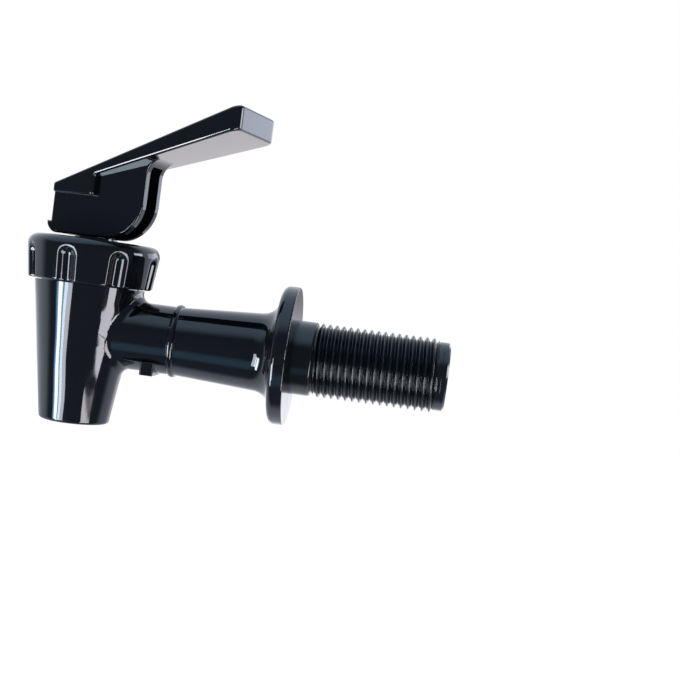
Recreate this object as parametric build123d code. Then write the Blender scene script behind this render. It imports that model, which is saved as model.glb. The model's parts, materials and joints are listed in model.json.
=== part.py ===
from build123d import *
from math import atan, cos, degrees, radians, sin, tan
import os

# A lever spigot for a drinks dispenser, in millimetres and at its real size.
# X runs along the shank from the valve to the threaded end, Z runs up the valve.
# The origin is where the shank's axis meets the flange's back face, which is the face
# that closes on the dispenser's wall.

# Shank, flange and barrel, along X from the flange's back face
valve_to_flange = 45.8
collar_radius = 8.0
collar_length = 4.8
collar_edge_round = 0.5
thread_pitch = 1.5
thread_radius = 7.97
thread_depth = 0.92
thread_crest_flat = 0.19
thread_turns = 18
thread_run_in = 0.35
pilot_radius = 7.35
pilot_length = 1.3
pilot_chamfer = 0.4
flange_radius = 15.0
flange_thickness = 3.4
flange_front_round = 1.3
flange_back_round = 0.3
flare_radius = 4.2
barrel_root_radius = 7.45
barrel_end_radius = 8.45
bead_position = 25.4
bead_width = 1.5
bead_height = 0.5
inlet_radius = 4.75
barrel_bore_radius = 4.4

# Key pad under the barrel, measured from the valve's axis
pad_distance = 13.4
pad_width = 2.9
pad_half_span = 5.6
pad_drop = 0.3
pad_edge_round = 0.3

# Spout and neck, along Z from the shank's axis
shoulder_height = 9.8
shoulder_radius = 11.8
outlet_depth = 20.0
outlet_outer_radius = 7.6
outlet_edge_round = 0.8
outlet_radius = 5.8
outlet_straight = 6.5
outlet_notch_radius = 0.45
root_blend_radius = 2.0
root_blend_share = 0.84
neck_height = 15.0
neck_clearance = 0.15
neck_thread_radius = 11.3
neck_thread_depth = 0.8
neck_thread_pitch = 1.8
neck_thread_turns = 2
chamber_top_radius = 8.7
chamber_floor_radius = 7.4
chamber_floor = -6.0
seat_height = 1.0
seat_bore_radius = 4.4
seat_lip_width = 0.9

# Bonnet cap
cap_gap = 0.2
cap_bottom_radius = 13.25
cap_top_radius = 14.1
cap_top_round = 2.4
cap_bottom_round = 0.35
cap_top_wall = 2.15
cap_boss_radius = 4.6
cap_boss_height = 0.55
guide_radius = 3.3
guide_length = 3.6
flute_count = 8
flute_radius = 1.5
flute_depth = 1.25
flute_top = 7.0

# Valve parts inside
stem_radius = 2.0
stem_clearance = 0.08
stem_collar_radius = 4.6
stem_collar_thickness = 1.2
stem_collar_height = 3.6
stem_button_radius = 3.0
stem_button_thickness = 1.6
stem_neck_radius = 1.5
stem_foot_length = 1.0
stem_head_chamfer = 0.3
washer_thickness = 0.8
washer_inner_radius = 6.9
washer_edge_gap = 0.25
cup_flange_thickness = 1.5
cup_flange_inner_radius = 5.9
cup_wall = 1.0
cup_plug_radius = 5.6
cup_plug_thickness = 3.2
cup_floor = 0.8
cup_gap = 0.1
spring_wire = 0.9
spring_radius = 4.2
spring_turns = 6.5
spring_end_gap = 0.02

# Lever, in its own frame: forwards from the stem's axis, sideways, and up
lever_yaw = 16.0
lever_tilt_limit = 38.0
cam_rise = 4.6
cam_clearance = 0.05
pin_height = 6.0
pin_radius = 1.5
pin_clearance = 0.05
pin_reach = 1.0
pin_end_gap = 0.1
cheek_half_width = 3.75
slot_half_width = 2.1
slot_rear = 7.2
slot_roof_drop = 1.0
cheek_edge_round = 0.5
lever_front = 12.45
heel_rear = 10.5
heel_rear_round = 2.5
heel_flare = 4.0
heel_bite = 1.0
rear_lip = 1.0
tab_bottom = 28.75
tab_front = 1.1
paddle_rear = 9.7
paddle_rear_top = 30.8
paddle_top_angle = 23.2
paddle_under_angle = 18.65
paddle_under_start = 33.2
paddle_reach = 34.9
paddle_rear_half_width = 4.1
paddle_tip_half_width = 9.6
paddle_corner_round = 2.0
paddle_edge_round = 0.6
lead_in_depth = 0.7

# Places worked out from the sizes above
valve_x = -valve_to_flange
cap_bottom = shoulder_height + cap_gap
cup_top = neck_height + cup_flange_thickness
cap_under = cup_top + washer_thickness
cap_top = cap_under + cap_top_wall
cap_height = cap_top - cap_bottom
boss_top = cap_top + cap_boss_height
sole_height = boss_top + cam_clearance
pin_z = sole_height + pin_height
seat_z = chamber_floor + seat_height
bore_through_cap = stem_radius + stem_clearance
thread_start = collar_length + thread_run_in
thread_end = thread_start + thread_turns * thread_pitch
shank_length = thread_end + pilot_length


def spun_about_z(outline):
    """Turns an outline of radius and height about the valve's axis."""
    return Pos(valve_x, 0, 0) * revolve(Plane.XZ * make_face(outline), Axis.Z)


def spun_about_x(outline):
    """Turns an outline of distance along the shank and radius about the shank's axis."""
    return revolve(Plane.XZ * make_face(outline), Axis.X)


def ridge_points(start, crest, depth, pitch, turns, flat):
    """Crest and root corners of a thread's section, as pairs of distance and radius."""
    points = []
    for turn in range(turns):
        low = start + turn * pitch
        points += [
            (low, crest - depth),
            (low + (pitch - flat) / 2, crest),
            (low + (pitch + flat) / 2, crest),
        ]
    return points + [(start + turns * pitch, crest - depth)]


def neck_ridges(crest):
    """The neck's coarse thread, drawn as rings, at a crest radius that sets its fit."""
    return ridge_points(
        shoulder_height + neck_thread_pitch / 2,
        crest,
        neck_thread_depth,
        neck_thread_pitch,
        neck_thread_turns,
        neck_thread_pitch / 4,
    )


def shank_and_barrel():
    """The turned form that runs from inside the valve to the tip of the shank."""
    flange_front = -flange_thickness
    flare_start = flange_front - flare_radius
    bead_start = -bead_position - bead_width / 2
    bead_end = -bead_position + bead_width / 2
    bottom = Line((valve_x, 0), (valve_x, barrel_root_radius))
    root = Line((valve_x, barrel_root_radius), (bead_start, barrel_root_radius))
    bead = ThreePointArc(
        (bead_start, barrel_root_radius),
        (-bead_position, barrel_root_radius + bead_height),
        (bead_end, barrel_root_radius),
    )
    barrel = Line((bead_end, barrel_root_radius), (flare_start, barrel_end_radius))
    flare = TangentArc(
        (flare_start, barrel_end_radius),
        (flange_front, barrel_end_radius + flare_radius),
        tangent=(flare_start - bead_end, barrel_end_radius - barrel_root_radius),
    )
    rest = Polyline(
        (flange_front, barrel_end_radius + flare_radius),
        (flange_front, flange_radius),
        (0, flange_radius),
        (0, collar_radius),
        (collar_length, collar_radius),
        (collar_length, thread_radius - thread_depth),
        *ridge_points(
            thread_start, thread_radius, thread_depth, thread_pitch, thread_turns, thread_crest_flat
        ),
        (thread_end, pilot_radius),
        (shank_length - pilot_chamfer, pilot_radius),
        (shank_length, pilot_radius - pilot_chamfer),
        (shank_length, 0),
        (valve_x, 0),
    )
    solid = spun_about_x(bottom + root + bead + barrel + flare + rest)
    rims = solid.edges().filter_by(GeomType.CIRCLE)
    front = [e for e in rims if e.radius > flange_radius - 0.01 and e.center().X < -0.5]
    solid = fillet(front, flange_front_round)
    rims = solid.edges().filter_by(GeomType.CIRCLE)
    back = [e for e in rims if e.radius > flange_radius - 0.01 and abs(e.center().X) < 0.01]
    solid = fillet(back, flange_back_round)
    rims = solid.edges().filter_by(GeomType.CIRCLE)
    collar = [
        e
        for e in rims
        if abs(e.radius - collar_radius) < 0.01 and abs(e.center().X - collar_length) < 0.01
    ]
    return fillet(collar, collar_edge_round)


def spout_and_neck():
    """The tapered spout, its shoulder and the threaded neck, as one solid form."""
    neck_root = neck_thread_radius - neck_thread_depth
    outline = Polyline(
        (0, -outlet_depth),
        (outlet_outer_radius, -outlet_depth),
        (shoulder_radius, shoulder_height),
        (neck_root, shoulder_height),
        *[(radius, height) for height, radius in neck_ridges(neck_thread_radius)],
        (neck_root, neck_height),
        (0, neck_height),
        (0, -outlet_depth),
    )
    return spun_about_z(outline)


def chamber():
    """The room round the seat cup, with the raised seat standing on its floor."""
    lip = seat_bore_radius + seat_lip_width
    outline = Polyline(
        (seat_bore_radius, chamber_floor),
        (seat_bore_radius, seat_z),
        (lip, seat_z),
        (lip, chamber_floor),
        (chamber_floor_radius, chamber_floor),
        (chamber_top_radius, neck_height),
        (0, neck_height),
        (0, seat_z - seat_height),
        (seat_bore_radius, chamber_floor),
    )
    return spun_about_z(outline)


def outlet_way():
    """The way down from the seat: a cone, then a straight bore to the spout's mouth."""
    outline = Polyline(
        (0, chamber_floor),
        (seat_bore_radius, chamber_floor),
        (outlet_radius, -outlet_depth + outlet_straight),
        (outlet_radius, -outlet_depth),
        (0, -outlet_depth),
        (0, chamber_floor),
    )
    return spun_about_z(outline)


def key_pad():
    """A flat-bottomed pad across the underside of the barrel, near the valve."""
    low = -(barrel_root_radius + pad_drop)
    height = barrel_root_radius - inlet_radius
    pad = Box(
        pad_width, 2 * pad_half_span, height, align=(Align.CENTER, Align.CENTER, Align.MIN)
    )
    pad = fillet(pad.edges().filter_by(Axis.Z), pad_edge_round)
    pad = fillet(pad.faces().sort_by(Axis.Z)[0].edges(), pad_edge_round / 2)
    return Pos(valve_x + pad_distance, 0, low) * pad


def valve_body():
    """Spout, neck, barrel, flange and threaded shank, moulded as one piece."""
    solid = spout_and_neck() + shank_and_barrel()
    joint = [
        e
        for e in solid.edges()
        if e.geom_type not in (GeomType.CIRCLE, GeomType.LINE)
        and valve_x < e.center().X < valve_x + shoulder_radius
        and e.center().Z < shoulder_height
    ]
    room = root_blend_share * (shoulder_height - barrel_root_radius)
    solid = fillet(joint, min(root_blend_radius, room))
    mouth = [
        e
        for e in solid.edges().filter_by(GeomType.CIRCLE)
        if abs(e.center().Z + outlet_depth) < 0.01
    ]
    solid = fillet(mouth, outlet_edge_round)
    solid += key_pad()
    inlet = Rot(0, 90, 0) * Cylinder(
        inlet_radius, shank_length, align=(Align.CENTER, Align.CENTER, Align.MIN)
    )
    inlet += Rot(0, 90, 0) * Cylinder(
        barrel_bore_radius, valve_to_flange, align=(Align.CENTER, Align.CENTER, Align.MAX)
    )
    notch = Pos(valve_x - outlet_outer_radius, 0, -outlet_depth) * Rot(0, 90, 0) * Cylinder(
        outlet_notch_radius, 2 * outlet_edge_round
    )
    solid -= chamber() + inlet
    solid -= outlet_way()
    return solid - notch


def cap_outline():
    """Half section of the cap: threaded skirt, rolled top edge, boss and stem guide."""
    female = neck_thread_radius + neck_clearance
    minor = female - neck_thread_depth
    guide_bottom = cap_under - guide_length
    lean = (cap_top_radius - cap_bottom_radius) / (cap_height - cap_top_round)
    roll_start = (cap_top_radius, cap_top - cap_top_round)
    roll_end = (cap_top_radius - cap_top_round, cap_top)
    inside = Polyline(
        roll_end,
        (cap_boss_radius, cap_top),
        (cap_boss_radius, boss_top),
        (bore_through_cap, boss_top),
        (bore_through_cap, guide_bottom),
        (guide_radius, guide_bottom),
        (guide_radius, cap_under),
        (minor, cap_under),
        *[(radius, height) for height, radius in reversed(neck_ridges(female))],
        (minor, cap_bottom),
        (cap_bottom_radius - cap_bottom_round, cap_bottom),
        (cap_bottom_radius + cap_bottom_round * lean, cap_bottom + cap_bottom_round),
        roll_start,
    )
    return inside + TangentArc(roll_start, roll_end, tangent=(lean, 1))


def bonnet_cap():
    """The screwed cap, with its ring of flutes cut upwards from the lower edge."""
    solid = spun_about_z(cap_outline())
    skirt_lean = (cap_top_radius - cap_bottom_radius) / (cap_height - cap_top_round)
    tip_height = cap_bottom + flute_top - flute_radius
    tip_radius = cap_bottom_radius + skirt_lean * (flute_top - flute_radius)
    groove = Sphere(flute_radius) + Cylinder(
        flute_radius, 2 * flute_top, align=(Align.CENTER, Align.CENTER, Align.MAX)
    )
    groove = Rot(0, degrees(atan(skirt_lean)), 0) * groove
    groove = Pos(tip_radius + flute_radius - flute_depth, 0, tip_height) * groove
    for number in range(flute_count):
        turn = Rot(0, 0, 360 / flute_count * (number + 0.5))
        solid -= Pos(valve_x, 0, 0) * turn * groove
    return solid


def slip_washer():
    """The flat ring that lets the cap be screwed down without dragging the cup."""
    outer = neck_thread_radius - neck_thread_depth - washer_edge_gap
    ring = Cylinder(outer, washer_thickness) - Cylinder(washer_inner_radius, washer_thickness)
    return Pos(valve_x, 0, cup_top + washer_thickness / 2) * ring


def seat_cup():
    """The rubber cup: a clamped flange, a folded wall and the plug that shuts the seat."""
    plug_top = seat_z + cup_plug_thickness
    pocket = stem_button_radius + cup_gap
    button_low = stem_button_low() - cup_gap
    button_high = button_low + stem_button_thickness + 2 * cup_gap
    neck = stem_neck_radius + cup_gap
    outer_flange = neck_thread_radius - neck_thread_depth - washer_edge_gap
    outer_wall = cup_flange_inner_radius + cup_wall
    outline = Polyline(
        (0, seat_z),
        (cup_plug_radius, seat_z),
        (cup_plug_radius, plug_top),
        (outer_wall, plug_top + 2 * cup_wall),
        (outer_wall, neck_height),
        (outer_flange, neck_height),
        (outer_flange, cup_top),
        (cup_flange_inner_radius, cup_top),
        (cup_flange_inner_radius, plug_top + 3 * cup_wall),
        (neck + cup_wall, plug_top),
        (neck, plug_top),
        (neck, button_high),
        (pocket, button_high),
        (pocket, button_low),
        (0, button_low),
        (0, seat_z),
    )
    return spun_about_z(outline)


def stem_button_low():
    """Height of the underside of the stem's button, inside the cup's plug."""
    return seat_z + cup_floor


def valve_stem():
    """The stem: a button in the cup, a collar under the spring and a crosspiece on top."""
    low = stem_button_low()
    foot_low = stem_collar_height - stem_foot_length
    collar_top = stem_collar_height + stem_collar_thickness
    outline = Polyline(
        (0, low),
        (stem_button_radius, low),
        (stem_button_radius, low + stem_button_thickness),
        (stem_neck_radius, low + stem_button_thickness),
        (stem_neck_radius, foot_low),
        (stem_radius, foot_low),
        (stem_radius, stem_collar_height),
        (stem_collar_radius, stem_collar_height),
        (stem_collar_radius, collar_top),
        (stem_radius, collar_top),
        (stem_radius, pin_z),
        (0, pin_z),
        (0, low),
    )
    rod = revolve(Plane.XZ * make_face(outline), Axis.Z)
    head = Pos(0, 0, pin_z) * Sphere(stem_radius)
    half_length = slot_half_width + pin_reach
    crosspiece = Pos(0, 0, pin_z) * Rot(90, 0, 0) * Cylinder(pin_radius, 2 * half_length)
    crosspiece = chamfer(crosspiece.edges().filter_by(GeomType.CIRCLE), stem_head_chamfer)
    return on_valve(rod + head + crosspiece)


def stem_spring():
    """The coil between the stem's collar and the cap, with its ends ground flat."""
    low = stem_collar_height + stem_collar_thickness + spring_end_gap
    high = cap_under - spring_end_gap
    pitch = (high - low) / spring_turns
    path = Helix(pitch=pitch, height=high - low, radius=spring_radius)
    wire = Plane(path @ 0, z_dir=path % 0) * Circle(spring_wire / 2)
    coil = sweep(wire, path=path, is_frenet=True)
    slab = Cylinder(
        2 * spring_radius, high - low, align=(Align.CENTER, Align.CENTER, Align.MIN)
    )
    return Pos(valve_x, 0, low) * (coil & slab)


def on_valve(solid):
    """Puts a solid drawn about its own stem onto the valve, turned to the lever's yaw."""
    return Pos(valve_x, 0, 0) * Rot(0, 0, -lever_yaw) * solid


def cam_point(angle):
    """A point of the heel that lifts the pin by cam_rise for each radian of tilt."""
    turn = radians(angle)
    reach = pin_height + cam_rise * turn
    return (
        reach * sin(turn) + cam_rise * cos(turn),
        pin_z - reach * cos(turn) + cam_rise * sin(turn),
    )


def under_paddle(reach):
    """Height of the paddle's underside at a distance forwards of the stem."""
    return paddle_under_start + (reach - tab_front) * tan(radians(paddle_under_angle))


def over_paddle(reach):
    """Height of the paddle's top at a distance forwards of the stem."""
    return paddle_rear_top + (reach + paddle_rear) * tan(radians(paddle_top_angle))


def heel_outline():
    """Side view of the heel: flat sole, cam, front edge, flare into the paddle and rear lip."""
    slope = radians(lever_tilt_limit)
    cam_end = cam_point(lever_tilt_limit)
    toe = (lever_front - cam_end[0]) / (1 - sin(slope))
    front_low = (lever_front, cam_end[1] + toe * cos(slope))
    flare_slope = radians(paddle_under_angle)
    flare_run = heel_flare * (1 - sin(flare_slope))
    flare_end = (lever_front + flare_run, under_paddle(lever_front + flare_run))
    flare_start = (lever_front, flare_end[1] - heel_flare * cos(flare_slope))
    rear_wall = -heel_rear + rear_lip
    lip_height = sole_height + heel_rear_round
    steps = 6
    angles = [lever_tilt_limit * step / steps for step in range(steps + 1)]
    sole = Line((-heel_rear + heel_rear_round, sole_height), (cam_rise, sole_height))
    cam = Spline(
        *[cam_point(angle) for angle in angles],
        tangents=[(1, 0), (cos(slope), sin(slope))],
    )
    toe_arc = TangentArc(cam_end, front_low, tangent=(cos(slope), sin(slope)))
    front = Line(front_low, flare_start)
    flare = TangentArc(flare_start, flare_end, tangent=(0, 1))
    rest = Polyline(
        flare_end,
        (flare_end[0], flare_end[1] + heel_bite),
        (rear_wall, over_paddle(rear_wall) - heel_bite),
        (rear_wall, lip_height),
        (-heel_rear, lip_height),
    )
    rear = TangentArc(
        (-heel_rear, lip_height), (-heel_rear + heel_rear_round, sole_height), tangent=(0, -1)
    )
    return sole + cam + toe_arc + front + flare + rest + rear


def heel():
    """The block under the paddle, before the slot for the stem is cut."""
    block = extrude(Plane.XZ * make_face(heel_outline()), cheek_half_width, both=True)
    sides = [e for e in block.edges() if abs(abs(e.center().Y) - cheek_half_width) < 0.01]
    lowest = [e for e in sides if e.center().Z < under_paddle(-heel_rear)]
    return fillet(lowest, cheek_edge_round)


def paddle():
    """The thumb plate with its side tabs: a side view crossed with a flared plan."""
    side = Polyline(
        (-paddle_rear, tab_bottom),
        (tab_front, tab_bottom),
        (tab_front, paddle_under_start),
        (paddle_reach, under_paddle(paddle_reach)),
        (paddle_reach, over_paddle(paddle_reach)),
        (-paddle_rear, paddle_rear_top),
        close=True,
    )
    plan = Polyline(
        (-paddle_rear, -paddle_rear_half_width),
        (paddle_reach, -paddle_tip_half_width),
        (paddle_reach, paddle_tip_half_width),
        (-paddle_rear, paddle_rear_half_width),
        close=True,
    )
    plate = extrude(Plane.XZ * make_face(side), 2 * paddle_tip_half_width, both=True)
    plate &= extrude(make_face(plan), 2 * over_paddle(paddle_reach))
    upright = [e for e in plate.edges().filter_by(Axis.Z) if e.center().X > paddle_reach - 0.1]
    plate = fillet(upright, paddle_corner_round)
    return fillet(plate.edges(), paddle_edge_round)


def stem_slot():
    """The slot between the cheeks, open below and in front, with the crosspiece's sockets."""
    roof_front = lever_front + heel_flare
    outline = Polyline(
        (-slot_rear, 0),
        (roof_front, 0),
        (roof_front, under_paddle(roof_front) - slot_roof_drop),
        (-slot_rear, under_paddle(-slot_rear) - slot_roof_drop),
        close=True,
    )
    slot = extrude(Plane.XZ * make_face(outline), slot_half_width, both=True)
    socket_radius = pin_radius + pin_clearance
    socket_half = slot_half_width + pin_reach + pin_end_gap
    slot += Pos(0, 0, pin_z) * Rot(90, 0, 0) * Cylinder(socket_radius, 2 * socket_half)
    lead_in = Box(
        2 * socket_radius,
        2 * (slot_half_width + lead_in_depth),
        pin_z,
        align=(Align.CENTER, Align.CENTER, Align.MIN),
    )
    return slot + lead_in


def lever_handle():
    """The lever: a flared paddle over two cheeks that straddle the stem."""
    return on_valve(heel() + paddle() - stem_slot())


nodes = {
    "valve_body": valve_body,
    "bonnet_cap": bonnet_cap,
    "slip_washer": slip_washer,
    "seat_cup": seat_cup,
    "stem_spring": stem_spring,
    "valve_stem": valve_stem,
    "lever_handle": lever_handle,
}

os.makedirs("parts", exist_ok=True)
for name, make in nodes.items():
    export_step(make(), f"parts/{name}.step")
    print("wrote", name)
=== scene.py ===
# %% [markdown]
# A lever spigot for a drinks dispenser, finished and lit around its solid model.
# The solid model already holds every piece at its real size, so this file adds what a solid
# leaves out: the true spiral of the thread, the finish of each moulding, a small studio and a
# camera. All lengths are in metres, in the solid model's own frame, with x along the shank and
# z up the valve. Only the recipes of the finishes count in millimetres.

# %% Load the solid model
import json
from math import acos, cos, hypot, pi, radians, sin, sqrt, tan
import bmesh
import bpy
from mathutils import Matrix, Vector


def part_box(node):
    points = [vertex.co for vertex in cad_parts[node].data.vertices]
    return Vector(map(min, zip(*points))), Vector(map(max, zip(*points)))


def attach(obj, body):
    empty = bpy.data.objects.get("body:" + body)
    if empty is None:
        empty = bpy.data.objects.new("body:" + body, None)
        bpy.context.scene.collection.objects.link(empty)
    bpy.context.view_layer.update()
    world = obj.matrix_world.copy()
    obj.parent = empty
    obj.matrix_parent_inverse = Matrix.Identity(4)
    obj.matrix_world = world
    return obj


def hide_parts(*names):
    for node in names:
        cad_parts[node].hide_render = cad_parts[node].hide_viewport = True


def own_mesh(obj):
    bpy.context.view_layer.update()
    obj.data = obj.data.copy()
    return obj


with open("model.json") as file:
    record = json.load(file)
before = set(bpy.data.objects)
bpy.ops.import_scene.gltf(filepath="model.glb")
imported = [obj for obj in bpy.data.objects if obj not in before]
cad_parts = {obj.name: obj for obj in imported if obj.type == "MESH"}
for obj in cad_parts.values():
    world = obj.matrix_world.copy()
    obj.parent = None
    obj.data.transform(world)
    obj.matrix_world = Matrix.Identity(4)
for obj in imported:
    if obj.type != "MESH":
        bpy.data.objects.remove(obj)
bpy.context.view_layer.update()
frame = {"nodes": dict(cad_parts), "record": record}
MM = 0.001
nodes = frame["nodes"]
joints = {joint["name"]: joint for joint in frame["record"]["behaviour"]["joints"]}
valve_x = joints["lever_swivel"]["pos_m"][0]
print("pieces:", sorted(nodes))
print("valve axis at x =", valve_x)

# %% [markdown]
# Shader maths reads best as ordinary arithmetic. A Wire stands for one output of a node, and
# adding or multiplying wires adds the Math node that does it. A Recipe holds the nodes of one
# material or world: its node method makes any other kind of node, settings first and then the
# values or links of its sockets, so that every material below is a few lines long.

# %% A small language for shader nodes
class Wire:
    """One output of a node, which can be added and multiplied like a number."""

    def __init__(self, recipe, socket):
        self.recipe = recipe
        self.socket = socket

    def maths(self, operation, first, second):
        return self.recipe.node("ShaderNodeMath", {"operation": operation}, {0: first, 1: second})

    def __add__(self, other):
        return self.maths("ADD", self, other)

    def __radd__(self, other):
        return self.maths("ADD", other, self)

    def __sub__(self, other):
        return self.maths("SUBTRACT", self, other)

    def __rsub__(self, other):
        return self.maths("SUBTRACT", other, self)

    def __mul__(self, other):
        return self.maths("MULTIPLY", self, other)

    def __rmul__(self, other):
        return self.maths("MULTIPLY", other, self)


class Recipe:
    """The nodes of one material or world."""

    def __init__(self, owner):
        owner.use_nodes = True
        self.tree = owner.node_tree
        self.tree.nodes.clear()

    def node(self, kind, settings=None, inputs=None, output=0):
        made = self.tree.nodes.new(kind)
        for name, value in (settings or {}).items():
            setattr(made, name, value)
        for name, value in (inputs or {}).items():
            if isinstance(value, Wire):
                self.tree.links.new(value.socket, made.inputs[name])
            else:
                made.inputs[name].default_value = value
        return Wire(self, made.outputs[output])

    def smooth(self, value, low, high):
        """0 below low, 1 above high, with a soft step between them."""
        settings = {"interpolation_type": "SMOOTHSTEP"}
        return self.node(
            "ShaderNodeMapRange", settings, {"Value": value, "From Min": low, "From Max": high}, "Result"
        )

    def larger(self, first, second):
        return self.node("ShaderNodeMath", {"operation": "MAXIMUM"}, {0: first, 1: second})

    def mix(self, factor, first, second):
        """A colour between two others. A Math node would turn a colour grey."""
        return self.node("ShaderNodeMix", {"data_type": "RGBA"}, {0: factor, 6: first, 7: second}, 2)

    def parts(self, vector):
        """The x, y and z of a vector, as three wires."""
        split = self.tree.nodes.new("ShaderNodeSeparateXYZ")
        self.tree.links.new(vector.socket, split.inputs[0])
        return [Wire(self, output) for output in split.outputs]

    def place(self):
        """Where a point is on the piece at rest, in millimetres."""
        spot = self.node("ShaderNodeTexCoord", output="Object")
        return self.node("ShaderNodeVectorMath", {"operation": "SCALE"}, {0: spot, "Scale": 1 / MM})

    def noise(self, vector, length, detail):
        """Soft random values around 0.5, whose lumps are about so many millimetres long."""
        inputs = {"Vector": vector, "Scale": 1 / length, "Detail": detail}
        return self.node("ShaderNodeTexNoise", {}, inputs, "Fac")

    def bump(self, height):
        """A normal that is bent as by relief of a height in millimetres."""
        return self.node("ShaderNodeBump", {}, {"Height": height, "Distance": MM}, "Normal")

    def surface(self, inputs):
        """Ends the recipe in the standard surface shader, with the given inputs."""
        shader = self.node("ShaderNodeBsdfPrincipled", {}, inputs)
        self.finish("ShaderNodeOutputMaterial", shader)

    def finish(self, kind, shader):
        end = self.tree.nodes.new(kind)
        self.tree.links.new(shader.socket, end.inputs["Surface"])


def new_recipe(name):
    """A new material and its empty recipe."""
    material = bpy.data.materials.new(name)
    return material, Recipe(material)


def opaque(colour):
    return (*colour, 1.0)


# %% [markdown]
# The body, the cap and the lever are moulded in one glossy black plastic. Black gloss has almost
# no colour of its own: what one sees is the room in it, so the surface matters more than the
# paint. Three things make it real. The faces are very slightly wavy, as plastic shrinks while it
# cools, which bends the edges of every reflection. Handling leaves a haze that is a little
# rougher here and there. And a few grains of pale dust cling to it. On the body the waves are
# strong on the spout and calm along the barrel, and behind the flange the plastic is duller.

# %% Black moulded plastic
BLACK = (0.0022, 0.0026, 0.0034)
DUST = (0.24, 0.27, 0.30)
POLISH = 0.045
HAZE = 0.05
HAZE_LENGTH = 1 / 0.22
DUST_CELL = 2.6
DUST_SIZE = 0.035
DUST_CORE = 0.014
DUST_SHARE = 0.30
DUST_SURE = 0.27
DUST_ROUGHNESS = 0.4
WAVE_SHAPE = (1.0, 1.0, 0.55)
CALM_BLEND = 4.0
CALM_SHARE = 0.75
SHANK_BLEND = 0.3
SHANK_ROUGHNESS = 0.11
SHANK_GRAIN = 0.006
SHANK_GRAIN_LENGTH = 0.2
PLASTIC_IOR = 1.5


def dust(r, spot):
    """1 on a few tiny grains, one in the middle of some of the cells of a random pattern."""
    inputs = {"Vector": spot, "Scale": 1 / DUST_CELL}
    distance = r.node("ShaderNodeTexVoronoi", {}, inputs, "Distance")
    lot = r.parts(r.node("ShaderNodeTexVoronoi", {}, inputs, "Color"))[0]
    near = 1 - r.smooth(distance, DUST_CORE, DUST_SIZE)
    return near * r.smooth(lot, 1 - DUST_SHARE, 1 - DUST_SURE)


def black_plastic(name, wave_height, wave_length, calm_beyond=None, matt_beyond=None):
    """Glossy black plastic with waves, calmer and then duller beyond two places along x."""
    material, r = new_recipe(name)
    spot = r.place()
    roughness = POLISH + r.smooth(r.noise(spot, HAZE_LENGTH, 3.0), 0.45, 0.8) * HAZE
    tall = r.node("ShaderNodeVectorMath", {"operation": "MULTIPLY"}, {0: spot, 1: WAVE_SHAPE})
    height = (r.noise(tall, wave_length, 0.0) - 0.5) * wave_height
    if calm_beyond is not None:
        calm = r.smooth(r.parts(spot)[0], calm_beyond, calm_beyond + CALM_BLEND)
        height = height * (1 - calm * CALM_SHARE)
    if matt_beyond is not None:
        matt = r.smooth(r.parts(spot)[0], matt_beyond, matt_beyond + SHANK_BLEND)
        roughness = roughness + matt * SHANK_ROUGHNESS
        height = height + r.noise(spot, SHANK_GRAIN_LENGTH, 2.0) * matt * SHANK_GRAIN
    grains = dust(r, spot)
    r.surface({
        "Base Color": r.mix(grains, opaque(BLACK), opaque(DUST)),
        "Roughness": roughness + grains * DUST_ROUGHNESS,
        "IOR": PLASTIC_IOR,
        "Normal": r.bump(height),
    })
    print("finish:", name)
    return material


BARREL_START = -35.0
FLANGE_BACK = 0.1
body_black = black_plastic("body_black", 0.30, 7.0, BARREL_START, FLANGE_BACK)
cap_black = black_plastic("cap_black", wave_height=0.06, wave_length=6.0)
lever_black = black_plastic("lever_black", wave_height=0.03, wave_length=9.0)

# %% [markdown]
# The pieces inside are seen only from close by, between the lever's cheeks and up the spout.
# The stem and the washer are the milky white of a self-lubricating plastic, the cup is cloudy
# rubber, and the spring is drawn stainless wire, a little rougher in patches.

# %% Finishes of the inner pieces
GRAIN_LENGTH = 1 / 6.0
GRAIN_HEIGHT = 0.01
CLOUD_ROUGHNESS = 0.1
STEEL = (0.60, 0.60, 0.58)
STEEL_POLISH = 0.15
STEEL_PATCH_LENGTH = 0.25
STEEL_PATCH_ROUGHNESS = 0.2


def cloudy(name, light, shade, roughness, cloud_length):
    """A pale material whose colour drifts a little and whose skin has a fine grain."""
    material, r = new_recipe(name)
    spot = r.place()
    clouds = r.noise(spot, cloud_length, 2.0)
    r.surface({
        "Base Color": r.mix(r.smooth(clouds, 0.3, 0.7), opaque(light), opaque(shade)),
        "Roughness": roughness + clouds * CLOUD_ROUGHNESS,
        "Normal": r.bump(r.noise(spot, GRAIN_LENGTH, 2.0) * GRAIN_HEIGHT),
    })
    print("finish:", name)
    return material


def drawn_wire(name):
    """Bright steel, a little rougher in patches."""
    material, r = new_recipe(name)
    patches = r.noise(r.place(), STEEL_PATCH_LENGTH, 4.0)
    roughness = STEEL_POLISH + patches * STEEL_PATCH_ROUGHNESS
    r.surface({"Base Color": opaque(STEEL), "Metallic": 1.0, "Roughness": roughness})
    print("finish:", name)
    return material


milky = cloudy("milky_plastic", (0.80, 0.79, 0.75), (0.74, 0.73, 0.68), 0.30, 4.0)
rubber = cloudy("cloudy_rubber", (0.64, 0.64, 0.60), (0.56, 0.56, 0.52), 0.45, 3.0)
steel = drawn_wire("drawn_steel")

# %% [markdown]
# A node of the solid model keeps its mesh, and only gets a new material. Where the mesh itself
# has to differ, a copy of it becomes a new piece, which rides on the same body and stands for
# the node.

# %% Dress a node, or copy it
def dress(mesh, material):
    mesh.materials.clear()
    mesh.materials.append(material)


def copy_of(node, name, body, material):
    """A new piece with the node's mesh, which stands for the node and rides on its body."""
    mesh = nodes[node].data.copy()
    mesh.name = name
    dress(mesh, material)
    piece = bpy.data.objects.new(name, mesh)
    bpy.context.scene.collection.objects.link(piece)
    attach(piece, body)
    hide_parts(node)
    return piece


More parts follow.
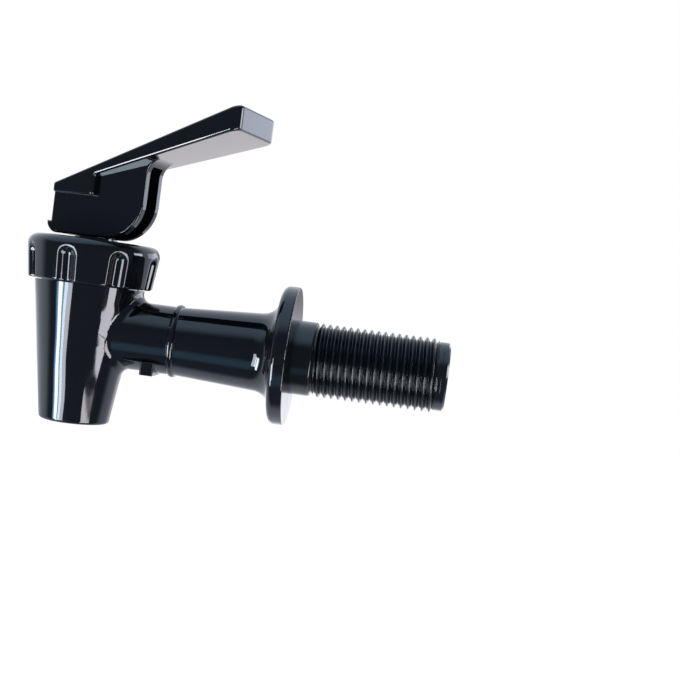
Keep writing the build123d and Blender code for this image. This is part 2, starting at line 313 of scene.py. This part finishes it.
dress(nodes["lever_handle"].data, lever_black)
dress(nodes["valve_stem"].data, milky)
dress(nodes["slip_washer"].data, milky)

# %% [markdown]
# The cap is moulded with eight flutes to grip it by, and a mould can't leave a knife edge on them:
# their edges roll softly into the skirt, and each roll catches the window as a white line. The
# solid model cuts them sharp. So the outside of a copy of the cap is taken off, and a sheet of
# points takes its place, spun from the cap's outline and pressed in at the flutes. The cap is
# screwed down until it is tight, so its flutes end up at any angle, here at the photograph's.

# %% The outline of the cap
CAP_FOOT = 10.0 * MM
CAP_BORE = 10.65 * MM
SKIRT_LOW = 13.25 * MM
SKIRT_HIGH = 14.10 * MM
ROLL_SIZE = 2.4 * MM
ROLL_FOOT = 17.05 * MM
FOOT_ROUND = 0.35 * MM
FOOT_STEPS = 3
ROUND_STEPS = 4
SKIRT_ROWS = 44
ROLL_ROWS = 16
lean = (SKIRT_HIGH - SKIRT_LOW) / (ROLL_FOOT - CAP_FOOT)


def rolled_edge():
    """Points of radius and height up the cap's top edge, an arc that leaves along the skirt."""
    start = Vector((SKIRT_HIGH, ROLL_FOOT))
    end = start + Vector((-ROLL_SIZE, ROLL_SIZE))
    inwards = Vector((-1.0, lean)).normalized()
    span = end - start
    radius = span.length_squared / (2 * span.dot(inwards))
    centre = start + inwards * radius
    sweep = acos((start - centre).dot(end - centre) / radius**2)
    points = []
    for row in range(1, ROLL_ROWS + 1):
        turned = Matrix.Rotation(sweep * row / ROLL_ROWS, 2) @ (start - centre)
        points.append(centre + turned)
    return points


def cap_outline():
    """The outline from the bore at the foot, round the foot, up the skirt and over the top edge."""
    foot = SKIRT_LOW - FOOT_ROUND
    points = []
    for step in range(FOOT_STEPS + 1):
        points.append(Vector((CAP_BORE + (foot - CAP_BORE) * step / FOOT_STEPS, CAP_FOOT)))
    for step in range(1, ROUND_STEPS + 1):
        angle = pi / 2 * step / ROUND_STEPS
        across = foot + FOOT_ROUND * (sin(angle) + lean * (1 - cos(angle)))
        points.append(Vector((across, CAP_FOOT + FOOT_ROUND * (1 - cos(angle)))))
    low = CAP_FOOT + FOOT_ROUND
    for row in range(1, SKIRT_ROWS + 1):
        height = low + (ROLL_FOOT - low) * row / SKIRT_ROWS
        points.append(Vector((SKIRT_LOW + lean * (height - CAP_FOOT), height)))
    return points + rolled_edge()


outline = cap_outline()
print("cap outline:", len(outline), "points")

# %% How deep a flute is
FLUTES = 8
FLUTE_RADIUS = 1.5 * MM
FLUTE_DEPTH = 1.25 * MM
FLUTE_TIP = 15.5 * MM
FLUTE_BEND = 1.2 * MM
FLUTE_SOFT = 0.7 * MM
CAP_TURN = 37.5
COLUMNS = 640


def soft_positive(value, softness):
    """The value where it is well above 0, and 0 where it is well below, with a round between."""
    share = min(max(0.5 + 0.5 * value / softness, 0.0), 1.0)
    return value * share + softness * share * (1 - share)


def flute_depth(aside, height):
    """How far the cap is pressed in, at a distance aside from a flute's middle and a height."""
    off = hypot(aside, max(height - FLUTE_TIP, 0.0))
    bend = min(off, FLUTE_BEND)
    wall = sqrt(FLUTE_RADIUS**2 - bend**2)
    depth = wall - (FLUTE_RADIUS - FLUTE_DEPTH) - (off - bend) * FLUTE_BEND / wall
    return soft_positive(depth, FLUTE_SOFT)


print("flute depth in its middle:", round(flute_depth(0.0, CAP_FOOT) / MM, 2), "mm")

# %% The fluted outside of the cap
def cap_point(row, column):
    across, height = outline[row]
    angle = 2 * pi * column / COLUMNS
    from_flute = (angle - radians(CAP_TURN)) % (2 * pi / FLUTES)
    from_flute = min(from_flute, 2 * pi / FLUTES - from_flute)
    depth = flute_depth(from_flute * across, height)
    share = min((across - CAP_BORE) / (SKIRT_LOW - FOOT_ROUND - CAP_BORE), 1.0)
    radius = across - depth * share
    return Vector((valve_x + radius * cos(angle), radius * sin(angle), height))


def sheet_of(rows, columns, point_at):
    """A closed sheet of smooth quads from a function that places a row and column."""
    sheet = bmesh.new()
    grid = [[sheet.verts.new(point_at(i, j)) for j in range(columns)] for i in range(rows)]
    for i in range(rows - 1):
        for j in range(columns):
            k = (j + 1) % columns
            corners = grid[i][j], grid[i][k], grid[i + 1][k], grid[i + 1][j]
            sheet.faces.new(corners).smooth = True
    mesh = bpy.data.meshes.new("sheet")
    sheet.to_mesh(mesh)
    sheet.free()
    return mesh


def swap_faces(piece, taken, sheet):
    """Takes some faces out of a piece and puts a sheet in their place."""
    joined = bmesh.new()
    joined.from_mesh(piece.data)
    old = [face for face in joined.faces if taken(face.calc_center_median())]
    bmesh.ops.delete(joined, geom=old, context="FACES")
    joined.from_mesh(sheet)
    joined.to_mesh(piece.data)
    joined.free()
    bpy.data.meshes.remove(sheet)
    print(piece.name, "faces taken out:", len(old), " faces now:", len(piece.data.polygons))


ROLL_MARGIN = 0.05 * MM
FOOT_MARGIN = 0.001 * MM


def outside_cap(middle):
    """Whether a face's middle is on the cap's skirt, top edge or foot."""
    radius = hypot(middle.x - valve_x, middle.y)
    return radius > SKIRT_HIGH - ROLL_SIZE + ROLL_MARGIN or middle.z < CAP_FOOT + FOOT_MARGIN


cap = copy_of("bonnet_cap", "bonnet_cap_fluted", "housing", cap_black)
swap_faces(cap, outside_cap, sheet_of(len(outline), COLUMNS, cap_point))

# %% [markdown]
# The solid model has plain rings for the shank's thread, because a true spiral costs too many
# faces there. Here the rings are taken out of a copy of the body, and a spiral ridge takes their
# place: an M16 thread with a 1.5 mm pitch. The ridge is a sheet of points. Along a row the points
# follow the helix, so the crest is a clean line, and across the rows they draw the ridge's
# section. Points past an end of the thread are pulled back to that end and merged there, which
# gives the spiral a flat start and finish. At its free end the ridge gives way to a short plain
# pilot.

# %% The section of the ridge
PITCH = 1.5 * MM
CREST = 7.97 * MM
ROOT = 7.05 * MM
THREAD_START = 5.15 * MM
THREAD_END = 32.15 * MM
FLAT = 0.19 * MM
ROUNDED_SHARE = 0.25
FADE = 0.35 * MM
TUCK = 0.05 * MM
MERGE = 0.0005 * MM
STEPS = 14
AROUND = 120
SPARE_TURNS = 3
THREAD_SHIFT = -0.5 * MM
PILOT_START = 31.2 * MM
PILOT_RADIUS = 7.35 * MM


def smoothstep(value):
    value = min(max(value, 0.0), 1.0)
    return value * value * (3 - 2 * value)


def ridge_height(share):
    """How high the ridge is, from 0 at the root to 1 at the crest, at a share of one pitch."""
    off_crest = abs(share - 0.5) * PITCH - FLAT / 2
    flank = PITCH / 2 - FLAT / 2
    straight = 1 - max(off_crest, 0.0) / flank
    return (1 - ROUNDED_SHARE) * straight + ROUNDED_SHARE * smoothstep(straight)


print("ridge heights:", [round(ridge_height(step / STEPS), 2) for step in range(STEPS)])

# %% The spiral ridge
def thread_point(step, column):
    """The point of a row and column of the sheet, pulled back to the thread's ends."""
    turn_share = column / AROUND
    along = THREAD_START + THREAD_SHIFT - PITCH + PITCH * (step / STEPS + turn_share)
    first, last = THREAD_START - TUCK, THREAD_END + TUCK
    inside = min(max(along, first), last)
    fade = smoothstep((inside - first) / FADE) * smoothstep((PILOT_START - inside) / FADE)
    height = ridge_height((step % STEPS) / STEPS) * fade
    radius = ROOT + (CREST - ROOT) * height
    if inside > PILOT_START:
        radius = PILOT_RADIUS
    if inside != along:
        radius = ROOT - TUCK
    angle = 2 * pi * turn_share
    return Vector((inside, radius * cos(angle), radius * sin(angle)))


def spiral_mesh():
    turns = round((THREAD_END - THREAD_START) / PITCH)
    rows = (turns + SPARE_TURNS) * STEPS + 1
    sheet = bmesh.new()
    grid = [[sheet.verts.new(thread_point(i, j)) for j in range(AROUND + 1)] for i in range(rows)]
    for i in range(rows - 1):
        for j in range(AROUND):
            corners = grid[i][j], grid[i][j + 1], grid[i + 1][j + 1], grid[i + 1][j]
            sheet.faces.new(corners).smooth = True
    bmesh.ops.remove_doubles(sheet, verts=sheet.verts, dist=MERGE)
    bmesh.ops.dissolve_degenerate(sheet, edges=sheet.edges, dist=MERGE)
    mesh = bpy.data.meshes.new("spiral")
    sheet.to_mesh(mesh)
    sheet.free()
    return mesh


# %% The body with its thread
def between_thread_ends(middle):
    between = THREAD_START + TUCK < middle.x < THREAD_END - TUCK
    return between and hypot(middle.y, middle.z) > ROOT - TUCK


body = copy_of("valve_body", "valve_body_threaded", "housing", body_black)
swap_faces(body, between_thread_ends, spiral_mesh())

# %% [markdown]
# The key pad under the barrel sits a little nearer to the wall in the photograph than in the
# solid model, and reaches further to both sides. Its points are moved along the barrel and
# sideways, and keep their heights.

# %% The key pad
PAD_X = valve_x + 13.4 * MM
PAD_HALF_WIDTH = 1.45 * MM
PAD_HALF_SPAN = 5.6 * MM
PAD_SHIFT = 2.5 * MM
PAD_WIDER = 1.18
BARREL_SKIN = 7.0 * MM
PAD_SLACK = 0.03 * MM
PAD_TOP = -sqrt(BARREL_SKIN**2 - PAD_HALF_SPAN**2)


def on_pad(spot):
    """Whether a point of the body is on the key pad."""
    along = abs(spot.x - PAD_X) < PAD_HALF_WIDTH + PAD_SLACK
    across = abs(spot.y) < PAD_HALF_SPAN + PAD_SLACK
    return along and across and spot.z < PAD_TOP and hypot(spot.y, spot.z) > BARREL_SKIN


pad_points = [vertex.co for vertex in body.data.vertices if on_pad(vertex.co)]
for spot in pad_points:
    spot.x += PAD_SHIFT
    spot.y *= PAD_WIDER
print("key pad points moved:", len(pad_points))

# %% [markdown]
# When the lever tips, the stem rises and shortens both the spring above its collar and the
# rubber cup round it. Their tops stay under the cap. Each is a copy here, and the share of its
# length that it would keep at the stem's full travel is worked out and printed. The cup gives a
# little less at its pocket than the stem's button rises, so the pocket's roof is set higher by
# that much and the button has room.

# %% The spring and the cup
POCKET_ROOF = -2.5 * MM
POCKET_RADIUS = 3.2 * MM
POCKET_ROOM = 0.30 * MM
ROOF_SLACK = 0.01 * MM


def raise_pocket_roof(cup):
    """Sets the roof of the pocket in the cup's plug higher, so that the stem's button has room."""
    raised = 0
    for vertex in cup.data.vertices:
        off_axis = hypot(vertex.co.x - valve_x, vertex.co.y)
        if abs(vertex.co.z - POCKET_ROOF) < ROOF_SLACK and off_axis < POCKET_RADIUS:
            vertex.co.z += POCKET_ROOM
            raised += 1
    print("points of the pocket's roof raised:", raised)


stem_travel = joints["stem_lift"]["range_m"][1]
fixed_ends = {soft["node"]: soft["fixed_end_z_m"] for soft in joints["stem_lift"]["deforming_nodes"]}
for node, name, rides_on, material, slot in (
    ("stem_spring", "closing_spring", "swivel", steel, "spring_steel"),
    ("seat_cup", "rubber_seat_cup", "housing", rubber, "silicone"),
):
    top = fixed_ends[node]
    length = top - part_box(node)[0][2]
    keep = 1 - stem_travel / length
    soft_piece = copy_of(node, name, rides_on, material)
    if node == "seat_cup":
        raise_pocket_roof(soft_piece)
    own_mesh(soft_piece)
    print(name, "keeps", round(keep, 3), "of", round(length / MM, 2), "mm")

# %% [markdown]
# In the photograph the spigot lies on a white table by a window, seen from above. So the half of
# the room behind it, in this frame, is the white table, which draws the pale rims, and the half
# in front is a dim bluish room, in which the black plastic stays black. The world paints both
# halves by direction, with a lighter ceiling and a teal glow low on the left. The table is
# brightest low behind the spigot and darkens where it runs out of the light. The camera itself
# sees plain white.

# %% The room
DIM_ROOM = (0.115, 0.142, 0.190)
CEILING = (0.80, 1.10, 1.50)
TEAL_GLOW = (0.30, 0.62, 0.95)
TABLE = (1.00, 1.08, 1.24)
TABLE_LOW = (1.80, 1.74, 1.85)
TABLE_FAR = (0.34, 0.33, 0.35)
WHITE = (1.0, 1.0, 1.0)
TABLE_STEP = (-0.15, 0.20)
TABLE_TURN = 0.16
TABLE_TOP = 0.2
TABLE_SLOPE = 0.6
LOW_AWAY = (0.75, 0.90)
LOW_DOWN = (0.03, 0.16)
FAR_AWAY = (0.955, 0.985)
FAR_UP = (-0.06, 0.0)
CEILING_STEP = (0.60, 0.95)
CEILING_LEAN = 0.35
GLOW_PLACE = (-20, -38)
GLOW_RIM = 17
GLOW_HEART = 3


def towards(azimuth, elevation):
    """The direction to an azimuth, counted from the front towards the shank, and elevation."""
    a, e = radians(azimuth), radians(elevation)
    return Vector((sin(a) * cos(e), -cos(a) * cos(e), sin(e)))


world = bpy.data.worlds.new("room")
bpy.context.scene.world = world
w = Recipe(world)
direction = w.node("ShaderNodeTexCoord", output="Generated")
across, away, up = w.parts(direction)
above_table = w.larger(up - TABLE_TOP, 0.0)
behind = w.smooth(away - across * TABLE_TURN - above_table * TABLE_SLOPE, *TABLE_STEP)
low_behind = w.smooth(away, *LOW_AWAY) * w.smooth(0 - up, *LOW_DOWN)
far_end = w.smooth(away, *FAR_AWAY) * w.smooth(up, *FAR_UP)
ceiling = w.smooth(up - across * CEILING_LEAN, *CEILING_STEP)
glow_inputs = {0: direction, 1: towards(*GLOW_PLACE)}
to_glow = w.node("ShaderNodeVectorMath", {"operation": "DOT_PRODUCT"}, glow_inputs, "Value")
glow = w.smooth(to_glow, cos(radians(GLOW_RIM)), cos(radians(GLOW_HEART)))
camera_ray = w.node("ShaderNodeLightPath", output="Is Camera Ray")
seen = w.mix(ceiling, opaque(DIM_ROOM), opaque(CEILING))
seen = w.mix(glow, seen, opaque(TEAL_GLOW))
seen = w.mix(behind, seen, opaque(TABLE))
seen = w.mix(low_behind, seen, opaque(TABLE_LOW))
seen = w.mix(far_end, seen, opaque(TABLE_FAR))
seen = w.mix(camera_ray, seen, opaque(WHITE))
w.finish("ShaderNodeOutputWorld", w.node("ShaderNodeBackground", {}, {"Color": seen, "Strength": 1.0}))
print("room painted with", len(w.tree.nodes), "nodes")

# %% [markdown]
# The long bright streaks down the spout are the window's panes. Each pane here is a lamp panel
# that fills a range of directions as seen from the valve, with the brightness that its reflection
# has in the photograph. A lamp panel lights the plastic as softly as a window does, and hides
# from the camera. Its power is that brightness times pi times its area.

# %% The window panes and the panels
LAMP_DISTANCE = 0.6
VALVE = Vector((valve_x, 0.0, 0.0))


def pane(name, azimuths, elevations, colour):
    """A lamp panel that spans a range of azimuths and elevations, as bright as colour says."""
    light = bpy.data.lights.new(name, "AREA")
    light.shape = "RECTANGLE"
    light.size = 2 * LAMP_DISTANCE * tan(radians(azimuths[1] - azimuths[0]) / 2)
    light.size_y = 2 * LAMP_DISTANCE * tan(radians(elevations[1] - elevations[0]) / 2)
    brightness = max(colour)
    light.energy = brightness * pi * light.size * light.size_y
    light.color = [channel / brightness for channel in colour]
    lamp = bpy.data.objects.new(name, light)
    away_from_valve = towards(sum(azimuths) / 2, sum(elevations) / 2)
    lamp.location = VALVE + away_from_valve * LAMP_DISTANCE
    lamp.rotation_mode = "QUATERNION"
    lamp.rotation_quaternion = away_from_valve.to_track_quat("Z", "Y")
    lamp.visible_camera = False
    bpy.context.scene.collection.objects.link(lamp)
    print("lamp", name, "energy", round(light.energy, 3))


pane("window_fringe_outer", (-60, -57), (-43, -12), (0.3, 1.6, 2.6))
pane("window_fringe", (-57, -53), (-43, -12), (3.5, 6.0, 10.5))
pane("window_pane", (-53, -44), (-43, -12), (24.0, 24.5, 25.5))
pane("window_bar", (-44, -40), (-38, -12), (2.5, 6.0, 6.6))
pane("second_pane", (-40, -34), (-38, -10), (15.6, 18.5, 22.0))
pane("third_pane", (-34, -23), (-38, -3), (10.0, 10.6, 11.6))
pane("right_edge", (88, 106), (0, 16), (9.2, 9.6, 10.5))
pane("behind_right", (122, 158), (-4, 20), (1.9, 2.05, 2.45))

# %% [markdown]
# The panels on the right are no plain rectangles: in the photograph their reflections on the
# spout are a leaning shape below the cap and a second one lower down. These are single faces
# that glow, with their corners given as directions from the valve.

# %% The leaning panels
def glowing_panel(name, corners, colour):
    """A flat glowing face whose corners lie in the given directions from the valve."""
    rays = [towards(azimuth, elevation) for azimuth, elevation in corners]
    facing = sum(rays, Vector()).normalized()
    points = [VALVE + ray * (LAMP_DISTANCE / ray.dot(facing)) for ray in rays]
    mesh = bpy.data.meshes.new(name)
    mesh.from_pydata(points, [], [range(len(points))])
    panel = bpy.data.objects.new(name, mesh)
    panel.visible_camera = False
    bpy.context.scene.collection.objects.link(panel)
    glow, g = new_recipe(name)
    brightness = max(colour)
    tint = opaque([channel / brightness for channel in colour])
    emission = g.node("ShaderNodeEmission", {}, {"Color": tint, "Strength": brightness})
    g.finish("ShaderNodeOutputMaterial", emission)
    mesh.materials.append(glow)
    print("panel", name, "with", len(points), "corners")


UPPER = ((46.5, -16.6), (56, -15.6), (58, -6), (70, -3), (71, -17), (67, -20.2), (47, -18.9))
UPPER_GLOW = (11.6, 11.6, 12.6)
LOWER = ((38, -22.3), (66, -21.9), (68, -36), (44, -52), (38, -50))
LOWER_GLOW = (10.6, 10.4, 11.0)
glowing_panel("right_panel_upper", UPPER, UPPER_GLOW)
glowing_panel("right_panel_lower", LOWER, LOWER_GLOW)

# %% [markdown]
# The floor is plain and pale. It is white to the camera, so that the picture has a white ground,
# with a share of its own shaded colour left in, which keeps the shadow. Glossy surfaces don't see
# it, because the room in them is the one of the photograph.

# %% The floor
FLOOR_Z = -0.6
FLOOR_SIDE = 6.0
FLOOR_WHITE = 0.9
WHITE_SHARE = 0.9
WHITE_STRENGTH = 1.08
floor_mesh = bpy.data.meshes.new("floor")
signs = ((-1, -1), (1, -1), (1, 1), (-1, 1))
floor_corners = [(x * FLOOR_SIDE, y * FLOOR_SIDE, FLOOR_Z) for x, y in signs]
floor_mesh.from_pydata(floor_corners, [], [(0, 1, 2, 3)])
floor = bpy.data.objects.new("floor", floor_mesh)
floor.visible_glossy = False
bpy.context.scene.collection.objects.link(floor)
floor_paint, f = new_recipe("floor_paint")
to_camera = f.node("ShaderNodeLightPath", output="Is Camera Ray")
pale = f.node("ShaderNodeBsdfDiffuse", {}, {"Color": opaque([FLOOR_WHITE] * 3)})
lit = f.node("ShaderNodeEmission", {}, {"Color": opaque(WHITE), "Strength": WHITE_STRENGTH})
both = f.node("ShaderNodeMixShader", {}, {"Fac": to_camera * WHITE_SHARE, 1: pale, 2: lit})
f.finish("ShaderNodeOutputMaterial", both)
floor_mesh.materials.append(floor_paint)
print("floor at", FLOOR_Z)

# %% [markdown]
# The camera looks nearly square at the spigot from about 25 cm away. It was fitted to the
# photograph's outline: its distance, its small turn to the right and rise, and the tilt that lets
# the shank run down to the right. The lens follows from how large a millimetre is in the picture.

# %% The camera
DISTANCE = 251.18 * MM
AZIMUTH = 3.366
ELEVATION = 1.893
ROLL = 7.435
TARGET = Vector((9.697, 0.0, 4.963)) * MM
PIXELS_PER_METRE = 4654.0
PICTURE_WIDTH = 680
SENSOR = 36.0
lens = bpy.data.cameras.new("camera")
lens.sensor_width = SENSOR
lens.lens = SENSOR * DISTANCE * PIXELS_PER_METRE / PICTURE_WIDTH
lens.clip_start = 0.01
lens.clip_end = 20.0
camera = bpy.data.objects.new("camera", lens)
back = towards(AZIMUTH, ELEVATION)
camera.location = TARGET + back * DISTANCE
camera.rotation_mode = "QUATERNION"
tilt = Matrix.Rotation(radians(ROLL), 4, "Z").to_quaternion()
camera.rotation_quaternion = back.to_track_quat("Z", "Y") @ tilt
bpy.context.scene.collection.objects.link(camera)
bpy.context.scene.camera = camera
bpy.context.scene.view_settings.view_transform = "Standard"
print("lens:", round(lens.lens, 2), "mm")
